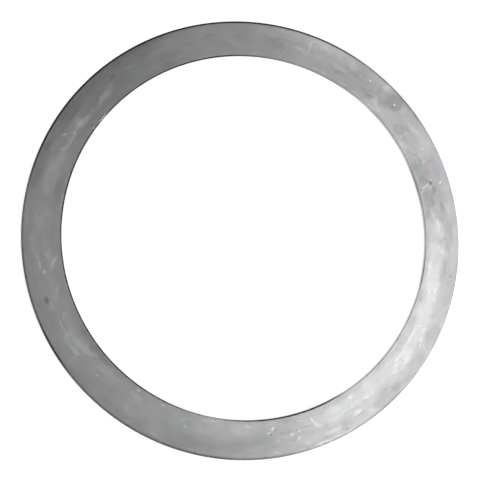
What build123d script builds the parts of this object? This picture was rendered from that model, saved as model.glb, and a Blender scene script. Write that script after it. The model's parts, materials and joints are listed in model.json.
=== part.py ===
from build123d import *
import math
import os

# A flat shim ring, punched in one stroke from cold-rolled steel strip.
# The origin is the centre of the face it lies on, and +Z runs along the ring's axis.
# The upper face is the one that the punch and die entered, so both of its corners are rolled over.

# Driving sizes, in millimetres
bore_diameter = 100.0
band_width = 10.0  # from the bore to the rim, so the ring is 120 across outside
thickness = 1.0

# The sheared wall, from the upper face down, is the same at the rim and at the bore
roll_radius = 0.40  # the shallow curve by which the skin was drawn down
roll_sweep = 35.0  # degrees that this curve turns through
nose_radius = 0.06  # the tight curve that ends it at the wall
land_height = 0.40  # the smooth upright band that the die burnished
fracture_lean = 5.0  # degrees that the torn band below it leans back into the metal
deburr_width = 0.06  # the flat brushed onto the lower corner to take off its burr


def sheared_wall(wall_radius, metal_side):
    """Draws one wall of the section, and gives its ends on the upper and the lower face.

    metal_side is -1 where the metal lies inside the wall, as at the rim, and +1 at the bore.
    """
    sweep = math.radians(roll_sweep)
    roll_width = roll_radius * math.sin(sweep) + nose_radius * (1 - math.sin(sweep))
    roll_start = (wall_radius + metal_side * roll_width, thickness)
    roll = JernArc(roll_start, (-metal_side, 0), roll_radius, metal_side * roll_sweep)
    nose = JernArc(roll @ 1, roll % 1, nose_radius, metal_side * (90 - roll_sweep))
    land = Line(nose @ 1, nose @ 1 - (0, land_height))
    torn_height = (land @ 1).Y
    foot = (wall_radius + metal_side * torn_height * math.tan(math.radians(fracture_lean)), 0)
    Line(land @ 1, foot)
    return roll_start, foot


bore_radius = bore_diameter / 2
rim_radius = bore_radius + band_width

with BuildPart() as shim_ring:
    with BuildSketch(Plane.XZ) as section:
        with BuildLine():
            bore_roll, bore_foot = sheared_wall(bore_radius, 1)
            rim_roll, rim_foot = sheared_wall(rim_radius, -1)
            Line(bore_roll, rim_roll)
            Line(bore_foot, rim_foot)
        make_face()
        chamfer(section.vertices().group_by(Axis.Y)[0], deburr_width)
    revolve(axis=Axis.Z)

shim_ring.part.label = "shim_ring"

os.makedirs("parts", exist_ok=True)
export_step(shim_ring.part, "parts/shim_ring.step")
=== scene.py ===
import json
import math

import bmesh
import bpy
from mathutils import Matrix, Vector


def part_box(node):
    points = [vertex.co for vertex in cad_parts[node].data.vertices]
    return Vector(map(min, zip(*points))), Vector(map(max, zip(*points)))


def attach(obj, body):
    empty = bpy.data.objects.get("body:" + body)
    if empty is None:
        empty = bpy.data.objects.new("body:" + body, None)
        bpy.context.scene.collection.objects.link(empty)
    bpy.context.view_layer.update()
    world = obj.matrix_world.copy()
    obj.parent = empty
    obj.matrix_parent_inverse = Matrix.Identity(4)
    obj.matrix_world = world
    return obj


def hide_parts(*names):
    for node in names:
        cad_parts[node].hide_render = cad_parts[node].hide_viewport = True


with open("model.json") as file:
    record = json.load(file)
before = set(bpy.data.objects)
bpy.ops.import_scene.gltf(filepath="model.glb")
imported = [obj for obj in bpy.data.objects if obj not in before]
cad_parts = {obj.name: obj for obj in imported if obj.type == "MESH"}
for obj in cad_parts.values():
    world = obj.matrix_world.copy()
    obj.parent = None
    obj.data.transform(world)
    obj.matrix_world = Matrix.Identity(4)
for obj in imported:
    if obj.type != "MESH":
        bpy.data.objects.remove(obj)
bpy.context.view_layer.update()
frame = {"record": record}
print("frame loaded")

mm = 0.001
tiny = 0.01 * mm  # how near a point must lie to a place to be picked by it
mounts = {mount["name"]: mount for mount in frame["record"]["mounts"]}
boreRadius = mounts["bore"]["dims"]["r_mm"] * mm
rimRadius = mounts["rim"]["dims"]["r_mm"] * mm
bandWidth = rimRadius - boreRadius
midRadius = (rimRadius + boreRadius) / 2
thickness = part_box("shim_ring")[1].z


# A wrapped socket: a sum written on it adds the Math node for that sum
class Wire:
    def __init__(self, desk, socket):
        self.desk = desk
        self.socket = socket

    def maths(self, operation, *values):
        return self.desk.add("ShaderNodeMath", {"operation": operation}, values)

    def __add__(self, other):
        return self.maths("ADD", self, other)

    def __sub__(self, other):
        return self.maths("SUBTRACT", self, other)

    def __rsub__(self, other):
        return self.maths("SUBTRACT", other, self)

    def __mul__(self, other):
        return self.maths("MULTIPLY", self, other)

    def __truediv__(self, other):
        return self.maths("DIVIDE", self, other)

    def __pow__(self, other):
        return self.maths("POWER", self, other)

    __radd__ = __add__
    __rmul__ = __mul__


# The desk that a material's nodes are laid out on
class Desk:
    def __init__(self, tree):
        self.tree = tree

    def add(self, kind, settings=None, values=(), output=0):
        node = self.tree.nodes.new(kind)
        for name, value in (settings or {}).items():
            if name == "stops":
                self.setStops(node.color_ramp, value)
            else:
                setattr(node, name, value)
        pairs = values.items() if isinstance(values, dict) else enumerate(values)
        for key, value in pairs:
            self.plug(value, node.inputs[key])
        return Wire(self, node.outputs[output])

    def plug(self, value, socket):
        if isinstance(value, Wire):
            self.tree.links.new(value.socket, socket)
        else:
            socket.default_value = value

    def setStops(self, ramp, stops):
        for place, value in stops[2:]:
            ramp.elements.new(place)
        for element, (place, value) in zip(ramp.elements, stops):
            element.position = place
            element.color = (value, value, value, 1)

    def split(self, vector):
        node = self.tree.nodes.new("ShaderNodeSeparateXYZ")
        self.tree.links.new(vector.socket, node.inputs[0])
        return [Wire(self, output) for output in node.outputs]

    def step(self, value, start, end, low=0.0, high=1.0):
        # smooth, and level beyond both its ends
        sockets = {"Value": value, "From Min": start, "From Max": end, "To Min": low, "To Max": high}
        settings = {"interpolation_type": "SMOOTHSTEP", "clamp": False}
        return self.add("ShaderNodeMapRange", settings, sockets)

    def noise(self, vector, scale, detail=2.0, rough=0.5, output=0):
        sockets = {"Vector": vector, "Scale": scale, "Detail": detail, "Roughness": rough}
        return self.add("ShaderNodeTexNoise", None, sockets, output)

    def vector(self, operation, *values, output=0):
        return self.add("ShaderNodeVectorMath", {"operation": operation}, values, output)

    def multiply(self, factor, first, second):
        settings = {"data_type": "RGBA", "blend_type": "MULTIPLY"}
        return self.add("ShaderNodeMix", settings, {0: factor, 6: first, 7: second}, 2)

    def grey(self, level):
        return self.add("ShaderNodeCombineColor", None, [level, level, level])


# The shape of the ring, with sizes in metres
ringShape = {
    "steps": 1440,  # cuts round the ring
    "faceCuts": 5,  # cuts across each flat face
    "rollWidth": 0.255 * mm,  # the upper corners, drawn down by the punch
    "rollDepth": 0.1215 * mm,
    "rollCuts": 6,
    "landHeight": 0.40 * mm,  # the upright band that the die burnished
    "fractureLean": 5.0,  # degrees that the torn band leans back
    "fractureCuts": 4,
    "deburrWidth": 0.06 * mm,  # the flat brushed onto the lower corners
    "tornGrain": 0.16 * mm,  # the grit of the torn band
    "tornDepth": 0.030 * mm,
    "waveLength": 26 * mm,  # the strip isn't quite flat
    "waveHeight": 0.05 * mm,
    "sharpAngle": 30,  # degrees between faces, from which an edge stays sharp
}
landFoot = thickness - ringShape["rollDepth"] - ringShape["landHeight"]


def pickVerts(test):
    # selects the points that pass the test, and nothing else
    mesh = bmesh.from_edit_mesh(bpy.context.object.data)
    for vert in mesh.verts:
        vert.select = test(vert.co)
    mesh.select_flush_mode()
    bmesh.update_edit_mesh(bpy.context.object.data)


def pickEdges(test):
    mesh = bmesh.from_edit_mesh(bpy.context.object.data)
    for part in (*mesh.faces, *mesh.edges, *mesh.verts):
        part.select = False
    for edge in mesh.edges:
        if test(edge.verts[0].co, edge.verts[1].co):
            edge.select_set(True)
    bmesh.update_edit_mesh(bpy.context.object.data)


def drawSection(shape):
    # the outline of the cut band, standing in the XZ plane
    bpy.ops.object.select_all(action="DESELECT")
    middle = (midRadius, 0, thickness / 2)
    bpy.ops.mesh.primitive_plane_add(size=1, location=middle, rotation=(math.pi / 2, 0, 0))
    ring = bpy.context.object
    ring.name = ring.data.name = "punchedRing"
    ring.scale = (bandWidth, thickness, 1)
    bpy.ops.object.transform_apply(location=True, rotation=True, scale=True)
    bpy.ops.object.mode_set(mode="EDIT")
    bpy.context.tool_settings.mesh_select_mode = (True, False, False)
    bpy.ops.mesh.select_all(action="SELECT")
    bpy.ops.mesh.delete(type="ONLY_FACE")

    # the rolled corners are bevelled to their depth, then drawn out to their width
    pickVerts(lambda co: co.z > thickness - tiny)
    bpy.ops.mesh.bevel(offset=shape["rollDepth"], segments=shape["rollCuts"], affect="VERTICES")
    stretch = (shape["rollWidth"] / shape["rollDepth"], 1, 1)
    reach = shape["rollDepth"] + tiny
    for wall in (boreRadius, rimRadius):
        pickVerts(lambda co: co.z > thickness - reach and abs(co.x - wall) < reach)
        bpy.ops.transform.resize(value=stretch, center_override=(wall, 0, thickness))

    # the torn band below the burnished land leans back into the metal
    bpy.ops.mesh.select_all(action="SELECT")
    bpy.ops.mesh.bisect(plane_co=(0, 0, landFoot), plane_no=(0, 0, 1))
    lean = landFoot * math.tan(math.radians(shape["fractureLean"]))
    for wall, side in ((boreRadius, 1), (rimRadius, -1)):
        pickVerts(lambda co: co.z < tiny and abs(co.x - wall) < tiny)
        bpy.ops.transform.translate(value=(side * lean, 0, 0))
    pickVerts(lambda co: co.z < tiny)
    bpy.ops.mesh.bevel(offset=shape["deburrWidth"], segments=1, affect="VERTICES")
    pickEdges(lambda a, b: abs(a.z - b.z) > landFoot / 2 and max(a.z, b.z) < landFoot + tiny)
    bpy.ops.mesh.subdivide(number_cuts=shape["fractureCuts"])
    pickEdges(lambda a, b: abs(a.x - b.x) > bandWidth / 2)
    bpy.ops.mesh.subdivide(number_cuts=shape["faceCuts"])
    return ring


def spinRing(shape):
    # the outline is turned once round the axis, and its two ends are merged
    bpy.ops.mesh.select_all(action="SELECT")
    bpy.ops.mesh.spin(steps=shape["steps"], angle=2 * math.pi, center=(0, 0, 0), axis=(0, 0, 1))
    bpy.ops.mesh.select_all(action="SELECT")
    bpy.ops.mesh.remove_doubles(threshold=tiny / 10)
    bpy.ops.mesh.normals_make_consistent(inside=False)
    bpy.ops.object.mode_set(mode="OBJECT")


def addWaves(ring, shape):
    # the strip isn't quite flat, and the torn band is gritty
    torn = ring.vertex_groups.new(name="tornBand")
    low = shape["deburrWidth"] * 1.5  # clear of the flat below
    high = landFoot - 2 * tiny
    torn.add([v.index for v in ring.data.vertices if low < v.co.z < high], 1.0, "REPLACE")
    for name, size, depth, group, direction in (
        ("tornGrit", shape["tornGrain"], shape["tornDepth"], "tornBand", "NORMAL"),
        ("stripWave", shape["waveLength"], shape["waveHeight"], "", "Z"),
    ):
        texture = bpy.data.textures.new(name, "CLOUDS")
        texture.noise_scale = size
        texture.noise_depth = 1
        displace = ring.modifiers.new(name, "DISPLACE")
        displace.texture = texture
        displace.texture_coords = "LOCAL"
        displace.vertex_group = group
        displace.direction = direction
        displace.strength = depth
        bpy.ops.object.modifier_apply(modifier=name)
    bpy.ops.object.mode_set(mode="EDIT")
    bpy.ops.mesh.select_all(action="SELECT")

    # the waves may have lifted it, so it is set back on the floor
    lowest = min(v.co.z for v in bmesh.from_edit_mesh(ring.data).verts)
    bpy.ops.transform.translate(value=(0, 0, -lowest))
    bpy.ops.object.mode_set(mode="OBJECT")
    bpy.ops.object.shade_smooth_by_angle(angle=math.radians(shape["sharpAngle"]))


# The finish of the ring, and the light and shade painted on it, with sizes in millimetres, and angles in
# degrees anticlockwise from +X.
# A mark on the upper face is its angle, its distance from the axis, half its length round the band,
# half its width, its tilt, and how much lighter or darker the steel is painted there
ringFinishAndShading = {
    "steel": (0.461, 0.461, 0.461),
    "roughness": 0.44,
    "patchiness": 0.1,  # how much the roughness changes from place to place
    "mottle": 0.30,  # how strongly the steel is mottled along the band
    "cloud": 0.10,  # and how strongly in clouds
    "relief": 0.25,
    "reliefDepth": 0.02,
    "hairRelief": 0.5,  # the shares that the hairlines and the torn grit have in the relief
    "gritRelief": 2.0,
    "cleanLand": 1.3,  # the burnished wall is brighter than the face
    "drag": 0.3,  # how strongly that wall is streaked
    "soil": 0.06,  # what is left of the steel's brightness under the painted shade on the edges
    "edgeShadeMatt": 0.95,  # how much of the metal the painted edge shade hides
    "edgeShadeShine": 0.1,
    "edgeShadeRough": 0.15,  # how much rougher the painted edge shade is, and the torn band
    "tearRough": 0.12,
    "tearGrit": 0.12,  # how ragged the upper end of the torn band is
    "rimTear": 0.5,  # how much painted shade darkens the torn band of the rim
    "edgeShadeRagged": 0.3,  # how far the outline of the painted edge shade wanders
    "fineness": {  # of each noise
        "outlines": 420,
        "streaks": 0.55,
        "clouds": 90,
        "soil": 900,
        "grit": 5000,
        "gloss": 250,
        "hairs": (300, 9000, 300),
    },
    "streakAlong": 0.4,  # the mottling is drawn out along the band, and the drag runs down the wall
    "dragAlong": 9.0,
    "dragDown": 0.5,
    "faceSpan": (0.80, 0.90),  # the heights between which the marks of the upper face come in
    "topSpan": (0.60, 0.85),  # the heights between which a wall ends
    "wallSpan": (0.2, 0.1),  # the distances from an edge between which a face ends
    "tearSpan": (0.62, 0.48),  # the heights where the torn band begins, and where it is full
    "seam": 100,  # the angle, on a plain stretch, where the chart of marks begins and ends
    "films": [  # broad and soft painted light and shade, which shape the reflection across the face
        (12, 55, 20, 12, 0, -0.26),
        (69, 58.5, 17, 5, 0, 0.29),
        (64, 58.9, 20, 2.4, 0, 0.13),
        (71, 54, 15, 9, 0, 0.15),
        (84, 58, 9, 2.5, 0, 0.10),
        (134, 55, 31, 13, 0, -0.25),
        (122, 59.6, 18, 2.6, 0, -0.24),
        (116, 50.7, 15, 1.6, 0, -0.14),
        (124, 57.0, 9, 2.6, 0, -0.06),
        (146, 59.5, 34, 3.5, 0, -0.12),
        (208, 54, 25, 3.2, 0, 0.12),
        (222, 50.6, 26, 1.4, 0, -0.14),
        (262, 57.5, 22, 5, 0, -0.17),
        (264, 52.6, 12, 3.0, 0, 0.03),
        (249, 53.6, 9, 3, 0, -0.08),
        (237, 58.8, 14, 2.2, 0, -0.12),
        (186, 55.4, 12, 3, 0, 0.09),
        (302, 53.4, 11, 3, 0, 0.10),
        (343, 56.6, 23, 2.0, 0, -0.15),
        (49, 58.6, 7, 2.2, 0, 0.10),
        (86, 57.6, 12, 3, 0, 0.07),
        (278, 54, 12, 8, 0, -0.08),
        (337, 59, 34, 2.9, 0, -0.16),
        (342, 50.4, 18, 1.5, 0, -0.14),
        (325, 53.8, 24, 2.4, 0, 0.07),
        (345, 54, 14, 2.4, 0, 0.03),
        (294, 54, 12, 4, 0, 0.08),
        (2, 55.5, 9, 3, 0, -0.08),
        (250, 51.0, 14, 1.2, 0, -0.07),
        (350, 55.9, 7, 2.0, 0, -0.16),
        (250, 55.4, 8, 2.0, 0, -0.06),
        (160, 51.0, 7, 1.0, 0, -0.08),
        (189, 53.3, 6, 1.5, 0, 0.13),
        (330, 56.6, 6, 1.6, 0, -0.10),
        (280, 50.9, 4, 1.1, 0, -0.13),
        (283, 59.0, 8, 1.2, 0, -0.10),
        (255, 52.8, 9, 1.6, 0, -0.07),
        (250, 58.9, 13, 1.2, 0, -0.07),
        (221, 59.0, 14, 1.2, 0, -0.10),
        (182, 57.0, 7, 1.6, 0, 0.09),
        (120, 57.0, 6, 1.4, 0, -0.08),
        (146, 52.8, 8, 1.2, 0, 0.07),
        (46, 58.9, 8, 1.2, 0, 0.09),
        (78, 58.9, 9, 1.2, 0, 0.08),
        (60, 57.0, 5, 1.4, 0, 0.08),
        (190, 57.0, 6, 1.6, 0, 0.05),
    ],
    "patches": [  # middling, with outlines that show
        (42.3, 56.9, 3.2, 2.6, 0, -0.21),
        (43.8, 54.3, 1.6, 0.8, 40, -0.12),
        (35.0, 52.9, 2.2, 1.7, -10, -0.15),
        (33.6, 54.7, 1.7, 0.7, -30, -0.09),
        (46.3, 51.5, 2.9, 1.2, 0, 0.20),
        (47.2, 53.1, 0.8, 1.1, -25, 0.18),
        (47.1, 58.2, 0.9, 1.3, -20, 0.20),
        (24.6, 51.4, 4.0, 1.3, 0, -0.10),
        (17.4, 52.2, 1.7, 1.6, 0, -0.13),
        (13.6, 54.6, 1.2, 0.8, 20, -0.15),
        (11.5, 52.1, 3.3, 1.9, 4, -0.09),
        (2.0, 54.4, 3.4, 1.4, -8, 0.17),
        (49.5, 52.6, 1.6, 0.8, -20, -0.12),
        (50.8, 56.2, 2.6, 2.4, 0, 0.04),
        (166.5, 54.7, 5.4, 1.9, -4, 0.13),
        (143.0, 57.9, 8.5, 1.9, 0, -0.05),
        (164.0, 58.4, 8.0, 1.6, 0, -0.13),
        (150.0, 57.9, 8.0, 1.9, 0, -0.07),
        (168.5, 51.7, 5.5, 1.2, 0, -0.11),
        (148.0, 53.6, 2.9, 1.0, 8, 0.30),
        (148.6, 54.7, 1.7, 0.9, -20, 0.15),
        (137.0, 54.4, 3.4, 1.3, -6, 0.08),
        (216.5, 51.1, 9.5, 0.9, 0, -0.12),
        (212.5, 55.0, 3.3, 1.5, 0, 0.13),
        (215.7, 53.0, 3.3, 0.8, -8, 0.18),
        (296.5, 57.7, 1.9, 1.3, 0, -0.09),
        (294.5, 53.7, 3.9, 1.9, 0, 0.10),
        (310.0, 57.9, 5.2, 2.1, 0, -0.17),
        (319.0, 58.1, 6.6, 2.4, 0, -0.15),
        (330.5, 58.4, 4.6, 1.9, 0, -0.10),
        (339.0, 58.5, 5.0, 1.6, 0, -0.03),
        (344.5, 58.6, 5.5, 1.6, 0, -0.06),
        (353.5, 58.3, 6.5, 1.7, 0, -0.08),
        (327.0, 51.5, 8.5, 1.1, 0, -0.10),
        (321.7, 54.9, 3.3, 1.0, 0, 0.10),
        (345.0, 53.9, 6.5, 2.0, 0, 0.06),
    ],
    "smears": [  # middling, with ragged outlines
        (41.5, 52.2, 4.0, 1.6, 0, 0.12),
        (38.6, 57.3, 0.7, 1.3, 0, 0.14),
        (31.5, 57.3, 2.5, 0.6, -35, 0.12),
        (34.5, 56.5, 3.0, 0.8, -15, 0.07),
        (38.0, 59.1, 6.0, 0.5, 0, -0.13),
        (32.5, 55.2, 1.9, 0.4, -20, -0.09),
        (31.7, 52.3, 1.3, 0.9, 0, -0.13),
        (30.6, 51.3, 1.7, 0.7, -15, 0.14),
        (27.3, 57.0, 2.8, 2.0, 0, 0.07),
        (25.3, 53.0, 2.6, 0.35, -21, -0.16),
        (23.3, 53.7, 0.8, 0.35, -28, -0.12),
        (21.0, 52.3, 3.3, 2.2, 0, -0.17),
        (19.4, 54.0, 1.3, 1.2, 0, -0.09),
        (21.8, 56.8, 0.5, 1.2, 0, -0.09),
        (16.9, 53.7, 0.8, 0.4, 20, -0.20),
        (13.6, 58.3, 1.3, 1.6, 0, 0.07),
        (10.8, 53.5, 2.7, 0.3, 10, -0.11),
        (8.4, 55.8, 1.5, 0.75, -15, -0.14),
        (6.3, 52.8, 2.3, 0.5, 0, 0.14),
        (6.6, 51.5, 1.8, 0.5, 15, -0.13),
        (1.5, 52.7, 2.0, 0.8, -15, 0.12),
        (9.0, 58.3, 3.6, 0.9, 0, 0.09),
        (1.0, 57.5, 3.8, 1.1, 0, -0.15),
        (45.3, 54.3, 1.3, 1.4, 20, -0.15),
        (51.8, 53.2, 2.4, 1.2, 0, -0.10),
        (47.9, 56.0, 0.8, 1.2, 0, -0.11),
        (58.3, 57.4, 1.4, 1.6, 0, 0.13),
        (63.2, 57.5, 1.3, 1.7, 0, 0.13),
        (68.0, 58.1, 1.5, 1.2, 0, 0.18),
        (71.3, 58.3, 1.6, 0.5, -25, 0.18),
        (76.4, 57.6, 1.0, 1.1, 0, 0.11),
        (74.8, 54.7, 1.6, 0.75, 8, 0.27),
        (74.5, 56.2, 2.3, 0.45, 0, -0.11),
        (68.0, 55.9, 2.6, 0.5, 0, -0.10),
        (63.0, 55.9, 3.2, 0.45, 0, -0.11),
        (58.0, 55.4, 2.8, 0.45, 0, -0.09),
        (62.3, 54.4, 3.6, 0.8, 0, 0.18),
        (68.8, 54.3, 1.8, 0.7, 0, 0.09),
        (62.0, 53.0, 2.7, 0.8, 0, -0.12),
        (69.3, 50.6, 1.3, 0.35, -15, 0.20),
        (65.2, 50.7, 1.2, 0.5, 0, 0.22),
        (58.3, 50.7, 1.3, 0.4, 0, 0.12),
        (53.4, 50.5, 1.6, 0.4, 0, 0.20),
        (83.0, 54.5, 3.2, 2.0, 0, -0.05),
        (87.5, 53.0, 3.2, 1.7, 0, 0.05),
        (103.0, 58.0, 2.2, 0.7, 0, 0.06),
        (101.0, 56.4, 2.9, 0.6, 8, -0.10),
        (127.0, 55.5, 1.2, 0.6, 20, 0.12),
        (116.0, 53.0, 3.5, 1.8, 0, -0.05),
        (133.0, 56.3, 1.5, 0.5, -8, -0.18),
        (138.8, 53.4, 2.7, 0.9, -8, 0.22),
        (140.6, 53.3, 1.2, 0.6, 0, 0.16),
        (136.0, 54.0, 1.9, 1.3, 0, 0.09),
        (139.0, 54.7, 2.1, 0.3, -5, -0.15),
        (149.5, 54.6, 2.1, 1.0, 10, 0.12),
        (143.3, 53.3, 1.9, 0.4, 10, 0.11),
        (154.6, 53.9, 5.5, 1.0, 0, 0.12),
        (160.3, 53.9, 3.0, 1.2, 0, 0.24),
        (155.7, 54.9, 2.0, 0.5, 0, -0.09),
        (176.5, 54.8, 4.2, 2.2, 0, 0.11),
        (176.7, 56.6, 1.6, 0.4, 0, 0.11),
        (158.5, 58.3, 1.4, 1.2, 0, -0.12),
        (166.3, 58.0, 1.6, 1.2, 0, -0.09),
        (147.5, 56.5, 2.6, 0.5, 0, -0.10),
        (151.0, 51.8, 3.6, 1.2, 0, -0.07),
        (178.0, 53.7, 1.4, 0.7, 0, -0.08),
        (183.3, 57.0, 1.2, 0.4, 0, 0.12),
        (187.3, 53.6, 2.1, 0.6, 0, 0.12),
        (188.0, 55.0, 2.1, 0.7, 0, -0.12),
        (187.8, 56.5, 1.5, 0.35, -18, 0.17),
        (190.7, 55.9, 1.4, 0.5, 5, 0.27),
        (190.3, 54.3, 1.3, 0.5, 0, -0.10),
        (190.6, 52.5, 1.9, 0.55, 22, 0.38),
        (189.6, 52.2, 0.8, 0.4, 22, 0.20),
        (185.5, 50.9, 1.7, 0.5, 0, -0.10),
        (198.0, 52.9, 0.9, 0.4, 15, 0.18),
        (199.2, 53.9, 2.2, 0.4, 45, 0.08),
        (201.5, 55.7, 1.3, 0.5, 30, 0.16),
        (204.9, 53.4, 1.4, 0.5, 28, 0.22),
        (203.9, 52.4, 0.6, 0.3, 0, -0.12),
        (207.5, 54.4, 1.7, 0.4, 0, -0.13),
        (209.8, 55.2, 1.9, 0.4, 0, 0.12),
        (210.0, 54.0, 0.9, 0.8, 0, 0.11),
        (215.2, 55.2, 1.3, 0.45, -30, 0.19),
        (219.0, 52.2, 1.7, 0.45, -20, 0.13),
        (223.5, 52.0, 2.3, 1.0, 0, 0.10),
        (223.4, 53.1, 1.9, 0.6, 0, 0.20),
        (223.6, 57.5, 4.0, 1.5, 0, -0.06),
        (226.8, 52.7, 2.2, 1.1, 0, 0.13),
        (229.5, 57.5, 2.1, 0.9, 0, -0.09),
        (235.3, 52.6, 2.4, 1.0, 10, 0.12),
        (235.5, 56.0, 1.7, 1.6, 0, 0.08),
        (234.9, 56.5, 0.4, 1.0, 0, 0.20),
        (237.3, 58.6, 1.4, 0.4, -30, 0.15),
        (244.3, 58.4, 2.6, 0.35, 8, 0.14),
        (243.0, 53.5, 2.7, 1.2, 0, 0.06),
        (241.5, 56.7, 1.6, 0.8, 0, -0.08),
        (250.3, 52.2, 1.8, 0.35, -12, 0.12),
        (251.0, 54.0, 4.5, 2.4, 0, 0.05),
        (252.0, 57.3, 6.0, 2.0, 0, -0.08),
        (257.5, 53.2, 5.0, 2.4, 0, 0.09),
        (258.5, 55.3, 1.9, 1.0, 0, -0.07),
        (258.5, 50.9, 3.4, 0.3, -3, 0.22),
        (255.8, 50.9, 1.1, 0.3, -12, 0.14),
        (265.3, 52.3, 1.9, 1.6, 0, 0.10),
        (267.5, 55.8, 3.6, 2.2, 0, -0.07),
        (268.7, 51.5, 1.7, 0.4, 0, 0.24),
        (273.0, 55.0, 3.2, 2.0, 0, -0.07),
        (276.9, 55.6, 0.4, 1.3, 0, 0.17),
        (279.5, 54.9, 1.5, 0.45, 0, 0.12),
        (278.8, 54.1, 1.1, 0.35, 0, -0.15),
        (282.9, 56.2, 0.9, 0.9, -30, 0.24),
        (281.3, 56.3, 0.9, 0.6, 0, -0.10),
        (276.8, 58.7, 1.0, 0.4, 15, 0.14),
        (283.0, 59.2, 0.9, 0.3, 0, 0.20),
        (285.3, 58.3, 0.7, 0.6, 0, 0.18),
        # a painted highlight along the rolled corner of the rim
        (289.3, 59.5, 3.4, 0.26, 0, 0.45),
        (286.0, 53.8, 2.5, 0.5, 0, -0.14),
        (285.5, 54.3, 1.2, 0.3, 0, 0.11),
        (289.0, 54.5, 1.1, 0.7, 40, 0.20),
        (288.3, 53.5, 1.2, 0.5, 65, 0.18),
        (290.3, 58.5, 1.7, 0.6, 0, -0.11),
        (291.0, 55.7, 1.0, 0.4, 0, -0.13),
        (292.2, 56.6, 1.6, 0.35, 10, -0.12),
        (292.3, 57.4, 2.2, 0.85, 5, 0.28),
        (296.0, 58.6, 0.8, 0.45, 0, -0.12),
        (301.2, 51.9, 0.9, 0.45, 15, 0.22),
        (300.3, 55.3, 1.7, 0.35, 8, -0.17),
        (301.0, 56.5, 1.3, 0.55, 10, 0.24),
        (301.5, 57.3, 1.8, 0.3, 8, -0.17),
        (298.0, 50.9, 6.0, 0.7, 0, -0.11),
        (304.0, 54.7, 0.8, 0.35, 10, -0.20),
        (304.8, 54.2, 1.0, 0.5, -10, 0.22),
        (307.0, 54.6, 0.6, 0.9, -30, 0.11),
        (308.5, 53.5, 1.9, 1.5, 0, 0.06),
        (307.0, 51.3, 1.1, 0.45, 0, 0.12),
        (313.0, 50.9, 1.8, 0.4, 0, -0.12),
        (316.2, 55.2, 0.9, 0.7, 0, 0.17),
        (317.3, 54.0, 1.0, 0.45, 0, 0.16),
        (318.8, 53.2, 0.9, 0.5, 0, 0.11),
        (332.5, 55.5, 2.5, 1.2, 0, 0.06),
        (332.5, 52.0, 2.4, 0.9, 0, -0.09),
        (330.5, 54.2, 2.6, 0.7, 0, -0.09),
        (339.7, 50.8, 1.7, 0.35, -8, -0.08),
        (315.5, 50.9, 1.6, 0.5, 0, -0.14),
        (50.0, 50.4, 6.0, 0.4, 0, 0.14),
        (337.8, 53.4, 1.0, 0.35, -15, 0.08),
        (348.5, 51.7, 3.7, 0.5, 5, 0.17),
        (350.2, 56.6, 1.5, 0.3, -8, -0.14),
        (347.6, 55.2, 2.3, 0.45, -5, -0.09),
        (346.5, 54.3, 0.4, 1.6, 0, -0.09),
        (350.5, 50.8, 4.0, 0.4, 3, -0.07),
        (355.0, 54.9, 0.45, 1.3, 0, 0.11),
        (356.8, 56.5, 1.9, 0.7, 0, -0.14),
        (358.8, 55.5, 0.4, 1.3, -15, -0.08),
        (357.0, 52.6, 3.5, 1.2, 0, 0.06),
        (358.0, 50.8, 2.6, 0.7, 0, -0.12),
    ],
    "specks": [  # small and crisp: grit and hairline scratches, and pits painted as a highlight with a crescent of painted shade beside it
        (41.9, 56.4, 0.45, 0.45, 0, 0.75),
        (41.7, 55.8, 0.60, 0.35, 0, -0.22),
        (51.9, 56.6, 0.45, 0.45, 0, 0.80),
        (51.9, 56.0, 0.60, 0.30, 0, -0.22),
        (50.3, 54.4, 0.75, 0.32, -35, -0.24),
        (54.9, 55.9, 0.75, 0.35, 60, 0.18),
        (33.0, 52.1, 0.45, 0.35, 0, 0.28),
        (26.4, 55.8, 0.55, 0.45, 0, 0.26),
        (22.7, 54.5, 0.50, 0.42, 0, 0.32),
        (15.4, 57.2, 0.80, 0.40, 60, 0.52),
        (16.0, 54.3, 0.80, 0.45, 0, -0.45),
        (16.8, 54.6, 0.38, 0.42, 0, 0.26),
        (14.8, 53.8, 0.38, 0.42, 0, 0.38),
        (15.5, 52.9, 0.95, 0.38, 80, 0.30),
        (15.1, 51.8, 0.85, 0.40, 70, 0.28),
        (14.0, 51.2, 0.55, 0.30, 80, 0.30),
        (14.6, 50.9, 0.45, 0.42, 0, -0.28),
        (3.0, 54.1, 2.70, 0.32, 0, 0.22),
        (79.8, 55.2, 0.85, 0.22, 0, 0.18),
        (79.1, 54.9, 0.65, 0.24, 50, 0.16),
        (78.9, 53.7, 0.90, 0.24, 97, 0.20),
        (79.6, 52.2, 1.10, 0.24, -50, 0.20),
        (80.4, 51.0, 0.60, 0.24, -79, 0.20),
        (72.2, 56.6, 1.60, 0.38, 85, 0.30),
        (72.2, 55.1, 1.10, 0.32, 90, 0.32),
        (72.6, 53.8, 1.05, 0.32, -66, 0.30),
        (69.4, 58.8, 0.50, 0.32, 0, 0.22),
        (93.0, 50.8, 3.40, 0.12, 0, -0.16),
        (157.2, 54.1, 1.45, 0.34, 25, 0.30),
        (154.6, 53.5, 2.90, 0.42, 0, 0.30),
        (199.7, 56.2, 1.20, 0.75, 8, -0.42),
        (151.9, 53.8, 0.90, 0.50, -15, 0.40),
        (153.7, 55.8, 0.80, 0.36, 35, 0.52),
        # a painted highlight on the knocked-over corner of the bore, with painted shade beside it
        (143.6, 50.52, 1.90, 0.20, 0, -0.35),
        (143.5, 50.12, 1.90, 0.17, 0, 1.10),
        (147.7, 50.2, 0.42, 0.32, 0, 1.10),
        (147.3, 51.0, 0.35, 0.30, 0, -0.25),
        (192.4, 55.0, 0.72, 0.50, 0, 0.58),
        (191.7, 50.9, 1.00, 0.30, 0, -0.18),
        (207.5, 55.2, 2.60, 0.32, 4, 0.20),
        (211.5, 54.6, 0.85, 0.32, 0, -0.15),
        (223.6, 54.9, 0.55, 0.50, 0, 0.30),
        (223.3, 54.2, 0.55, 0.28, 0, -0.18),
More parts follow.
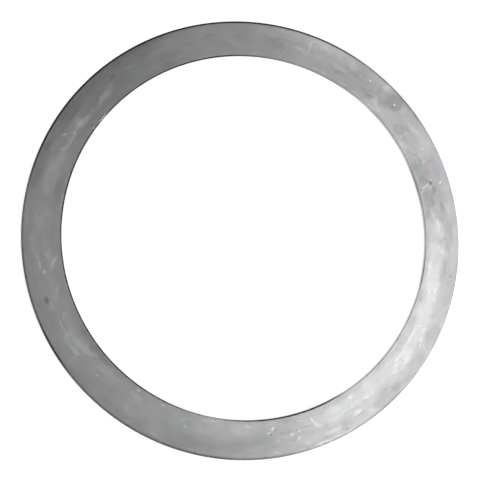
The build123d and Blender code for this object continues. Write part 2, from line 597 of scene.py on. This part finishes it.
        (235.0, 51.1, 0.65, 0.42, -15, 0.55),
        (243.2, 51.1, 0.52, 0.38, 0, 0.36),
        (251.1, 53.9, 0.48, 0.38, 0, 0.34),
        (276.0, 52.5, 0.75, 0.38, -35, 0.55),
        (274.8, 53.5, 0.55, 0.32, -30, 0.50),
        (276.8, 53.0, 0.38, 0.32, 0, -0.28),
        (275.5, 54.0, 0.52, 0.30, -20, -0.28),
        (281.3, 54.9, 0.70, 0.42, -20, 0.38),
        (283.4, 54.4, 0.65, 0.38, -20, 0.42),
        (282.8, 54.0, 0.52, 0.28, 0, -0.28),
        (280.8, 54.1, 1.25, 0.28, 0, -0.12),
        (284.8, 52.1, 2.00, 0.20, 16, 0.22),
        (287.8, 52.6, 0.80, 0.36, 60, 0.28),
        (296.9, 58.4, 0.42, 0.34, 0, 0.32),
        # a painted highlight along the rolled corner of the rim
        (295.5, 59.48, 5.00, 0.26, 0, 0.24),
        (299.3, 54.0, 0.40, 0.26, 0, -0.22),
        (299.4, 53.4, 0.35, 0.24, 0, -0.22),
        (297.7, 53.7, 0.35, 0.24, 0, -0.20),
        (304.1, 58.0, 0.95, 0.28, 45, 0.16),
        (311.5, 57.3, 1.20, 0.22, 40, 0.12),
        (311.5, 57.3, 1.20, 0.22, -40, 0.12),
        (319.9, 54.6, 0.60, 0.62, -30, -0.17),
        (327.2, 52.95, 4.60, 0.45, 0, 0.20),
        (321.3, 53.3, 3.60, 0.55, 3, 0.21),
        (328.3, 55.9, 1.05, 0.52, 10, 0.20),
        (326.6, 56.4, 0.75, 0.32, -5, 0.22),
        (326.6, 55.9, 0.65, 0.32, 0, -0.15),
        (331.7, 54.1, 0.65, 0.32, -15, 0.20),
        (331.4, 53.4, 0.55, 0.34, 30, 0.22),
        (342.9, 54.4, 0.65, 0.42, 15, 0.15),
        (342.6, 53.8, 0.65, 0.28, 10, -0.18),
        (342.3, 53.0, 0.95, 0.42, 0, 0.15),
        (348.2, 58.2, 0.38, 0.42, 0, -0.22),
        (347.6, 58.2, 0.38, 0.42, 0, 0.18),
        (356.4, 53.9, 0.95, 0.42, 20, 0.22),
    ],
    # how much of a mark of each kind fades, how much wider than written it is, and how ragged
    "softness": {"films": 1.0, "patches": 0.4, "smears": 0.9, "specks": 0.85},
    "spread": {"films": 1.0, "patches": 1.1, "smears": 1.4, "specks": 1.15},
    "waver": {"films": 3.0, "patches": 2.0, "smears": 2.2, "specks": 0.4},
    "waverAlong": 1.6,  # outlines waver this much more along the band than across it
    "tints": [  # where the oil shows a trace of colour: a mark's place and size, then red, green, blue
        (50.8, 56.2, 3.0, 2.6, (0.97, 1.01, 1.00)),
        (27.3, 56.5, 3.2, 2.6, (0.96, 1.01, 1.00)),
        (19.2, 57.2, 4.6, 3.4, (1.00, 0.955, 1.04)),
        (21.5, 52.6, 3.4, 2.2, (0.93, 1.03, 1.00)),
        (17.2, 52.4, 1.8, 1.8, (0.97, 0.99, 1.03)),
        (13.5, 58.2, 1.8, 2.0, (1.02, 1.02, 0.92)),
        (11.5, 55.8, 3.0, 1.6, (0.94, 1.02, 1.01)),
        (11.4, 52.2, 3.4, 1.8, (1.01, 0.97, 1.04)),
        (1.0, 54.0, 3.8, 2.6, (0.98, 1.005, 1.00)),
        (101.0, 54.8, 9.0, 3.0, (0.965, 1.015, 1.00)),
        (106.3, 57.2, 2.4, 1.5, (0.98, 0.98, 1.03)),
        (109.0, 55.2, 2.4, 1.4, (0.92, 1.03, 1.00)),
        (106.3, 51.2, 2.2, 0.9, (1.03, 0.97, 0.98)),
        (123.5, 56.0, 3.0, 1.6, (0.91, 1.04, 1.00)),
        (127.0, 53.0, 10, 3.2, (0.955, 1.015, 1.00)),
        (138.0, 53.6, 4.4, 2.2, (0.93, 1.03, 1.00)),
        (187.5, 54.9, 3.2, 2.4, (0.93, 1.03, 0.99)),
        (190.8, 52.2, 2.2, 1.0, (1.05, 0.97, 0.98)),
        (212.5, 55.0, 4.4, 1.9, (0.95, 1.02, 1.00)),
        (230.0, 54.5, 3.2, 3.8, (0.97, 1.01, 1.00)),
        (234.0, 57.8, 1.6, 1.5, (1.03, 0.98, 0.98)),
        (250.0, 54.5, 8.0, 3.4, (0.955, 1.015, 1.00)),
        (258.3, 55.2, 2.2, 1.2, (1.00, 0.97, 1.05)),
        (266.0, 52.4, 3.0, 2.2, (0.92, 1.03, 1.00)),
        (267.0, 56.2, 3.6, 1.6, (0.98, 0.99, 1.03)),
        (273.0, 55.0, 4.2, 2.8, (0.965, 0.995, 1.02)),
        (278.6, 56.0, 2.6, 1.8, (1.01, 0.98, 1.03)),
        (285.0, 54.8, 3.4, 1.8, (0.95, 1.02, 1.00)),
        (292.0, 57.2, 3.4, 2.0, (0.99, 0.975, 1.04)),
        (296.5, 53.6, 5.4, 2.4, (0.94, 1.02, 1.00)),
        (308.0, 53.6, 2.8, 1.8, (0.95, 1.015, 1.00)),
    ],
    # painted shade on the edges, darkest on the side of the rim away from the softbox: how dark it is,
    # from none to all, by the angle:
    # on the corner of the rim, on the corner of the bore, on the whole wall of the bore, and on the torn
    # band of that wall
    "rimShade": [
        (100, 1.0), (158, 1.0), (163, 0.85), (172, 0.6), (182, 0.55), (190, 0.65), (202, 0.65),
        (208, 0.95), (214, 0.95), (220, 0.6), (262, 0.6), (268, 0.35), (273, 0.4), (279, 0.3),
        (286, 0.15), (304, 0.15), (308, 0.2), (313, 0.2), (317, 0.0), (344, 0.0), (350, 0.1),
        (356, 0.0), (380, 0.0), (391, 0.15), (396, 0.4), (405, 0.4), (409, 0.3), (416, 0.45),
        (421, 0.8), (428, 0.95), (460, 1.0),
    ],
    "boreShade": [
        (100, 0.2), (126, 0.3), (134, 0.4), (141, 0.5), (141.6, 0.0), (145.4, 0.0), (146, 0.5), (154, 0.7),
        (162, 0.9), (170, 1.0), (178, 0.9), (184, 0.8), (192, 1.0), (198, 1.0), (232, 1.0), (241, 0.95),
        (249, 0.5), (260, 0.25), (266, 0.6), (274, 0.9), (280, 1.0), (287, 0.9), (293, 0.7), (299, 0.1),
        (342, 0.0), (345, 0.3), (351, 0.2), (355, 0.0), (379, 0.1), (387, 0.0), (430, 0.1), (460, 0.2),
    ],
    "landShade": [
        (100, 1.0), (170, 1.0), (180, 0.3), (190, 0.1), (203, 0.3), (210, 0.9), (230, 0.9), (237, 0.3),
        (255, 0.0), (270, 0.2), (276, 0.7), (284, 1.0), (294, 1.0), (300, 0.0), (342, 0.0), (346, 0.1),
        (353, 0.0), (369, 0.0), (376, 0.3), (384, 0.0), (412, 0.0), (420, 0.3), (432, 0.3), (443, 0.4),
        (460, 1.0),
    ],
    "tornShade": [
        (100, 1.0), (170, 1.0), (180, 0.5), (260, 0.4), (274, 0.8), (282, 1.0), (294, 1.0), (301, 0.1),
        (342, 0.0), (350, 0.1), (360, 0.1), (373, 0.4), (380, 0.4), (386, 0.0), (414, 0.0), (422, 0.4),
        (432, 0.4), (445, 0.7), (460, 1.0),
    ],
    "rimShadeEnds": (59.27, 59.58),  # distances from the axis, where the painted shade starts and is full
    "boreShadeEnds": (50.45, 50.12),
    "landShadeEnds": (50.14, 50.04),
}


def onChart(angle):
    # the angle's place along the chart, in radians
    seam = ringFinishAndShading["seam"]
    return math.radians((angle - seam) % 360 + seam)


def makeStamp():
    # the node group that adds one mark to the tone passed through it, for stains and specks and for
    # painted light and shade alike
    stamp = bpy.data.node_groups.new("toneMark", "ShaderNodeTree")
    sockets = dict.fromkeys(("tone", "lift", "core"), "NodeSocketFloat")
    sockets |= dict.fromkeys(("chart", "centre", "along", "across"), "NodeSocketVector")
    for name, kind in sockets.items():
        stamp.interface.new_socket(name, in_out="INPUT", socket_type=kind)
    stamp.interface.new_socket("tone", in_out="OUTPUT", socket_type="NodeSocketFloat")
    desk = Desk(stamp)
    into = {name: desk.add("NodeGroupInput", output=name) for name in sockets}
    offset = desk.vector("SUBTRACT", into["chart"], into["centre"])
    reach = desk.vector("DOT_PRODUCT", offset, into["along"], output="Value")
    breadth = desk.vector("DOT_PRODUCT", offset, into["across"], output="Value")
    away = (reach * reach + breadth * breadth) ** 0.5
    marked = into["tone"] + desk.step(away, 1, into["core"], 0, into["lift"])
    desk.plug(marked, stamp.nodes.new("NodeGroupOutput").inputs["tone"])
    return stamp


def addMark(desk, stamp, tone, chart, mark, kind, lift):
    # the mark fades to nothing at its outline, from a core whose size the kind sets
    angle, radius, halfLength, halfWidth, tilt = mark
    spread = ringFinishAndShading["spread"][kind]
    turn = Matrix.Rotation(math.radians(tilt), 3, "Z")
    values = {
        "tone": tone,
        "lift": lift,
        "core": 1 - ringFinishAndShading["softness"][kind],
        "chart": chart,
        "centre": (onChart(angle) * midRadius / mm, radius, 0),
        "along": turn @ Vector((1 / halfLength, 0, 0)) / spread,
        "across": turn @ Vector((0, 1 / halfWidth, 0)) / spread,
    }
    return desk.add("ShaderNodeGroup", {"node_tree": stamp}, values)


def waver(desk, chart, noise, amount):
    # moves the chart a little this way and that, so that outlines on it are ragged
    shift = desk.vector("SUBTRACT", noise, (0.5, 0.5, 0.5))
    return desk.vector("MULTIPLY_ADD", shift, (ringFinishAndShading["waverAlong"] * amount, amount, 0), chart)


def shadeBy(desk, arc, name):
    # how strong the painted edge shade is at this angle
    seam = ringFinishAndShading["seam"]
    stops = [((angle - seam) / 360, value) for angle, value in ringFinishAndShading[name]]
    along = (arc * (mm / midRadius) - math.radians(seam)) / (2 * math.pi)
    return desk.add("ShaderNodeValToRGB", {"stops": stops}, [along])


def layChart(desk, place):
    # how far a place is round the ring, out from its axis and up from the floor, in millimetres
    x, y, z = desk.split(place)
    height = z / mm
    radius = (x * x + y * y) ** 0.5 / mm
    turn = desk.add("ShaderNodeMath", {"operation": "ARCTAN2"}, [y, x])
    start = math.radians(ringFinishAndShading["seam"])
    arc = turn.maths("WRAP", turn, start + 2 * math.pi, start) * (midRadius / mm)
    return arc, radius, height


def paintFace(desk, place, arc, radius, height):
    # the steel with its marks, painted light and shade among them, and the mottling that goes over it
    finishAndShading = ringFinishAndShading
    chart = desk.add("ShaderNodeCombineXYZ", None, [arc, radius, 0.0])
    stamp = makeStamp()
    ripple = desk.noise(place, finishAndShading["fineness"]["outlines"], 3.0, 0.6, "Color")
    tone = 1.0
    for kind in ("films", "patches", "smears", "specks"):
        ragged = waver(desk, chart, ripple, finishAndShading["waver"][kind])
        for *mark, lift in finishAndShading[kind]:
            tone = addMark(desk, stamp, tone, ragged, mark, kind, lift)
    face = desk.step(height, *finishAndShading["faceSpan"])
    tone = (tone - 1.0) * face + 1.0
    colour = desk.multiply(1.0, (*finishAndShading["steel"], 1), desk.grey(tone))
    for *mark, tint in finishAndShading["tints"]:
        # a tint takes the softness of the broad painted shading
        share = addMark(desk, stamp, 0.0, ragged, (*mark, 0), "films", 1.0) * face
        colour = desk.multiply(share, colour, (*tint, 1))
    streaks = desk.add("ShaderNodeCombineXYZ", None, [arc * finishAndShading["streakAlong"], radius, 0.0])
    mottle = desk.noise(streaks, finishAndShading["fineness"]["streaks"], 3.0, 0.55) * finishAndShading["mottle"]
    clouds = desk.noise(place, finishAndShading["fineness"]["clouds"]) * finishAndShading["cloud"]
    return colour, mottle + clouds + (1 - (finishAndShading["mottle"] + finishAndShading["cloud"]) / 2)


def rolledSteel():
    finishAndShading = ringFinishAndShading
    fineness = finishAndShading["fineness"]
    steel = bpy.data.materials.new("rolledSteel")
    steel.use_nodes = True
    desk = Desk(steel.node_tree)
    shader = steel.node_tree.nodes["Principled BSDF"]
    shader.inputs["Specular IOR Level"].default_value = finishAndShading["edgeShadeShine"]
    place = desk.add("ShaderNodeTexCoord", output="Object")
    arc, radius, height = layChart(desk, place)
    colour, mottle = paintFace(desk, place, arc, radius, height)

    # where the walls are, and which of them is the bore's
    top = desk.step(height, *finishAndShading["topSpan"])
    offset = radius - midRadius / mm
    edges = [bandWidth / 2 / mm - depth for depth in finishAndShading["wallSpan"]]
    walls = desk.step(offset.maths("ABSOLUTE", offset), *edges)
    atBore = desk.step(offset, 0.5, -0.5)
    wall = walls * (1.0 - top)

    # painted shade darkens the corners and walls by the angle, the land is bright and dragged, and the
    # torn band is dull
    ragged = radius + (desk.noise(place, fineness["soil"]) - 0.5) * finishAndShading["edgeShadeRagged"]
    rim = shadeBy(desk, arc, "rimShade") * desk.step(ragged, *finishAndShading["rimShadeEnds"])
    bore = shadeBy(desk, arc, "boreShade") * desk.step(ragged, *finishAndShading["boreShadeEnds"]) * top
    land = shadeBy(desk, arc, "landShade") * desk.step(radius, *finishAndShading["landShadeEnds"])
    grit = desk.noise(place, fineness["grit"], 3.0, 0.6)
    tear = walls * desk.step(height + grit * finishAndShading["tearGrit"], *finishAndShading["tearSpan"])
    torn = (shadeBy(desk, arc, "tornShade") * atBore + (1.0 - atBore) * finishAndShading["rimTear"]) * tear
    total = rim + bore + land + torn
    soil = total.maths("MINIMUM", total, 1.0)
    dragged = [arc * finishAndShading["dragAlong"], height * finishAndShading["dragDown"], 0.0]
    drag = desk.noise(desk.add("ShaderNodeCombineXYZ", None, dragged), 1.0, 3.0)
    polish = wall * (finishAndShading["cleanLand"] - 1 + (drag - 0.5) * finishAndShading["drag"]) + 1.0
    # the painted edge shade darkens the base colour here, and below it makes the metal matt
    keep = (1.0 - soil * (1 - finishAndShading["soil"])) * polish * mottle
    desk.plug(desk.multiply(1.0, colour, desk.grey(keep)), shader.inputs["Base Color"])
    gloss = desk.noise(place, fineness["gloss"]) * finishAndShading["patchiness"]
    rough = gloss + (finishAndShading["roughness"] - finishAndShading["patchiness"] / 2)
    rough = rough + soil * finishAndShading["edgeShadeRough"] + tear * finishAndShading["tearRough"]
    desk.plug(rough, shader.inputs["Roughness"])
    desk.plug(1.0 - soil * finishAndShading["edgeShadeMatt"], shader.inputs["Metallic"])

    # hairlines along the strip, and the grit of the torn band
    hairs = desk.noise(desk.vector("MULTIPLY", place, fineness["hairs"]), 1.0, 4.0, 0.6)
    relief = hairs * finishAndShading["hairRelief"] * (1.0 - walls) + grit * tear * finishAndShading["gritRelief"]
    bump = {"Strength": finishAndShading["relief"], "Distance": finishAndShading["reliefDepth"] * mm, "Height": relief}
    desk.plug(desk.add("ShaderNodeBump", None, bump), shader.inputs["Normal"])
    return steel


def buildRing():
    ring = drawSection(ringShape)
    spinRing(ringShape)
    addWaves(ring, ringShape)
    ring.data.materials.append(rolledSteel())
    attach(ring, "root")
    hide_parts("shim_ring")
    print("ring built:", len(ring.data.vertices), "points")


# The studio, with places in metres
studio = {
    "lens": 45,
    "nearest": 0.005,  # how near the camera sees
    "cameraPlace": (-0.02663, -0.02300, 0.16009),
    "cameraTurn": (7.244, -8.400, 0),
    "floorSize": 6,
    "floorColour": (0.86, 0.86, 0.86, 1),
    "floorRoughness": 0.9,
    "floorGlow": 0.6,
    "softboxPlace": (0.446, -0.089, 0.80),
    "softboxSize": (0.80, 0.364),
    "softboxGlow": 3.05,
    "ceiling": 0.37,
    "wall": 1.0,
    "skyline": (0.25, 0.6),  # how far up the wall ends, and the ceiling begins
}


def placeCamera():
    bpy.ops.object.camera_add(location=studio["cameraPlace"])
    camera = bpy.context.object
    camera.rotation_euler = [math.radians(turn) for turn in studio["cameraTurn"]]
    camera.data.lens = studio["lens"]
    camera.data.clip_start = studio["nearest"]
    bpy.context.scene.camera = camera


def layFloor():
    bpy.ops.mesh.primitive_plane_add(size=studio["floorSize"])
    floor = bpy.context.object
    floor.name = "paperFloor"
    paper = bpy.data.materials.new("whitePaper")
    paper.use_nodes = True
    desk = Desk(paper.node_tree)
    shader = paper.node_tree.nodes["Principled BSDF"]
    shader.inputs["Base Color"].default_value = studio["floorColour"]
    shader.inputs["Roughness"].default_value = studio["floorRoughness"]
    shader.inputs["Emission Color"].default_value = (1, 1, 1, 1)
    rays = ("Is Camera Ray", "Is Glossy Ray", "Is Transmission Ray")
    seen = [desk.add("ShaderNodeLightPath", output=ray) for ray in rays]
    desk.plug((seen[0] + seen[1] + seen[2]) * studio["floorGlow"], shader.inputs["Emission Strength"])
    floor.data.materials.append(paper)


def hangLights():
    # the softbox is to the right of the picture and faces the ring
    wide, deep = studio["softboxSize"]
    bpy.ops.object.light_add(type="AREA", location=studio["softboxPlace"])
    softbox = bpy.context.object
    softbox.data.shape = "RECTANGLE"
    softbox.data.size = wide
    softbox.data.size_y = deep
    softbox.data.energy = studio["softboxGlow"] * math.pi * wide * deep
    softbox.rotation_euler = Vector(studio["softboxPlace"]).to_track_quat("Z", "Y").to_euler()

    room = bpy.data.worlds.new("paleRoom")
    bpy.context.scene.world = room
    room.use_nodes = True
    desk = Desk(room.node_tree)
    height = desk.split(desk.add("ShaderNodeTexCoord", output="Generated"))[2]
    glow = desk.step(height, *studio["skyline"], studio["wall"], studio["ceiling"])
    desk.plug(glow, room.node_tree.nodes["Background"].inputs["Color"])


bpy.context.scene.view_settings.view_transform = "Standard"
buildRing()
layFloor()
hangLights()
placeCamera()
print("stage set")
